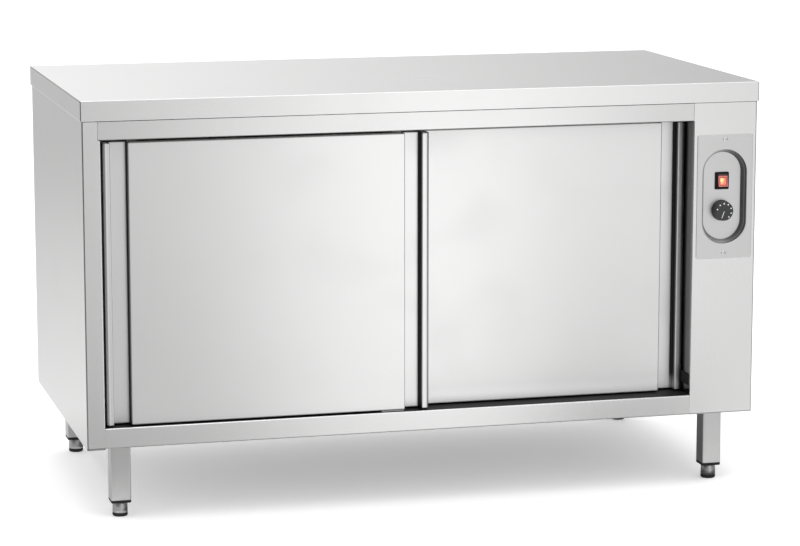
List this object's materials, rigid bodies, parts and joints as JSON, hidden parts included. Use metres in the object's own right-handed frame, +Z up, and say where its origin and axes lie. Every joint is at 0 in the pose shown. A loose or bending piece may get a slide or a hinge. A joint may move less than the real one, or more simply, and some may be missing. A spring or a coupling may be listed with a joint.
{
  "type": "plate warmer cabinet",
  "caption": "Free-standing stainless plate warming cupboard: sliding double-skinned doors, worktop, square legs with adjustable feet, control column with rocker switch and thermostat knob.",
  "frame": {"origin": "on the floor under the centre of the worktop", "axes": "+X along the width towards the control column, +Y towards the back, +Z up; the doors face -Y"},
  "size_m": [1.4, 0.7, 0.84],
  "materials": {
    "worktop_steel": "brushed along the width",
    "panel_steel": "fine brushed",
    "liner_steel": "fine brushed",
    "door_steel": "fine brushed",
    "control_steel": "satin, pressed",
    "leg_steel": "satin",
    "screw_steel": "bright",
    "track_aluminium": "mill finish",
    "copper_tube": "drawn",
    "mineral_wool": "matt, fibrous",
    "board": "raw chipboard",
    "buffer_rubber": "matt",
    "grey_plastic": "matt",
    "white_plastic": "smooth",
    "black_plastic": "satin",
    "knob_plastic": "satin, printed marks",
    "red_lens": "clear, lit from behind",
    "motor_paint": "satin"
  },
  "bodies": {
    "cabinet": {"back_panel": "panel_steel", "base_channels": "panel_steel", "base_panel": "panel_steel", "bottom_door_guide": "grey_plastic", "bottom_front_rail": "panel_steel", "cable_gland": "black_plastic", "control_plate": "control_steel", "door_buffers": "buffer_rubber", "door_track": "track_aluminium", "fan_housing": "liner_steel", "fan_motor": "motor_paint", "heater_element": "screw_steel", "inner_back_wall": "liner_steel", "inner_ceiling": "liner_steel", "inner_floor": "liner_steel", "inner_left_wall": "liner_steel", "insulation_slabs": "mineral_wool", "left_side_panel": "panel_steel", "leg_back_left": "leg_steel", "leg_back_right": "leg_steel", "leg_front_left": "leg_steel", "leg_front_right": "leg_steel", "leg_inserts": "black_plastic", "panel_screws": "screw_steel", "partition_wall": "liner_steel", "right_side_panel": "panel_steel", "shelf_clips": "liner_steel", "shelf_rack_left": "liner_steel", "shelf_rack_right": "liner_steel", "switch_housing": "black_plastic", "terminal_block": "white_plastic", "thermostat": "black_plastic", "thermostat_capillary": "copper_tube", "top_cover": "panel_steel", "top_front_rail": "panel_steel", "worktop": "worktop_steel", "worktop_board": "board", "worktop_stiffeners": "panel_steel"},
    "left_door": {"left_door_skin": "door_steel", "left_door_back": "door_steel", "left_door_core": "mineral_wool", "left_door_hanger_bar": "door_steel", "left_door_bottom_channel": "door_steel"},
    "right_door": {"right_door_skin": "door_steel", "right_door_back": "door_steel", "right_door_core": "mineral_wool", "right_door_hanger_bar": "door_steel", "right_door_bottom_channel": "door_steel"},
    "left_door_left_roller": {"left_door_left_roller": "white_plastic"},
    "left_door_right_roller": {"left_door_right_roller": "white_plastic"},
    "right_door_left_roller": {"right_door_left_roller": "white_plastic"},
    "right_door_right_roller": {"right_door_right_roller": "white_plastic"},
    "knob": {"temperature_knob": "knob_plastic"},
    "rocker": {"switch_rocker": "red_lens"},
    "impeller": {"fan_impeller": "track_aluminium"},
    "shelf": {"shelf": "liner_steel"},
    "foot_front_left": {"foot_front_left": "leg_steel"},
    "foot_front_right": {"foot_front_right": "leg_steel"},
    "foot_back_left": {"foot_back_left": "leg_steel"},
    "foot_back_right": {"foot_back_right": "leg_steel"}
  },
  "joints": [
    {"name": "left_door_slide", "type": "slide", "parent": "cabinet", "child": "left_door", "axis": [1, 0, 0], "range_m": [0, 0.5557]},
    {"name": "right_door_slide", "type": "slide", "parent": "cabinet", "child": "right_door", "axis": [1, 0, 0], "range_m": [-0.5557, 0]},
    {"name": "left_door_left_roller_turn", "type": "hinge", "parent": "left_door", "child": "left_door_left_roller", "pos_m": [-0.595, -0.305, 0.7789], "axis": [0, 1, 0], "continuous": true},
    {"name": "left_door_right_roller_turn", "type": "hinge", "parent": "left_door", "child": "left_door_right_roller", "pos_m": [-0.05875, -0.305, 0.7789], "axis": [0, 1, 0], "continuous": true},
    {"name": "right_door_left_roller_turn", "type": "hinge", "parent": "right_door", "child": "right_door_left_roller", "pos_m": [-0.03925, -0.267, 0.7789], "axis": [0, 1, 0], "continuous": true},
    {"name": "right_door_right_roller_turn", "type": "hinge", "parent": "right_door", "child": "right_door_right_roller", "pos_m": [0.497, -0.267, 0.7789], "axis": [0, 1, 0], "continuous": true},
    {"name": "knob_turn", "type": "hinge", "parent": "cabinet", "child": "knob", "pos_m": [0.6285, -0.34, 0.57396], "axis": [0, 1, 0], "range_deg": [0, 270]},
    {"name": "rocker_tilt", "type": "hinge", "parent": "cabinet", "child": "rocker", "pos_m": [0.6285, -0.331, 0.63546], "axis": [1, 0, 0], "range_deg": [0, 16]},
    {"name": "impeller_spin", "type": "hinge", "parent": "cabinet", "child": "impeller", "pos_m": [0.587, 0.04867, 0.36216], "axis": [1, 0, 0], "continuous": true},
    {"name": "shelf_lift", "type": "slide", "parent": "cabinet", "child": "shelf", "axis": [0, 0, 1], "range_m": [0, 0.2]},
    {"name": "foot_front_left_screw_out", "type": "slide", "parent": "cabinet", "child": "foot_front_left", "axis": [0, 0, -1], "range_m": [0, 0.03]},
    {"name": "foot_front_right_screw_out", "type": "slide", "parent": "cabinet", "child": "foot_front_right", "axis": [0, 0, -1], "range_m": [0, 0.03]},
    {"name": "foot_back_left_screw_out", "type": "slide", "parent": "cabinet", "child": "foot_back_left", "axis": [0, 0, -1], "range_m": [0, 0.03]},
    {"name": "foot_back_right_screw_out", "type": "slide", "parent": "cabinet", "child": "foot_back_right", "axis": [0, 0, -1], "range_m": [0, 0.03]}
  ],
  "couplings": [
    {"joint": "left_door_left_roller_turn", "follows": "left_door_slide", "rad_per_m": 90.909},
    {"joint": "left_door_right_roller_turn", "follows": "left_door_slide", "rad_per_m": 90.909},
    {"joint": "right_door_left_roller_turn", "follows": "right_door_slide", "rad_per_m": 90.909},
    {"joint": "right_door_right_roller_turn", "follows": "right_door_slide", "rad_per_m": 90.909}
  ]
}
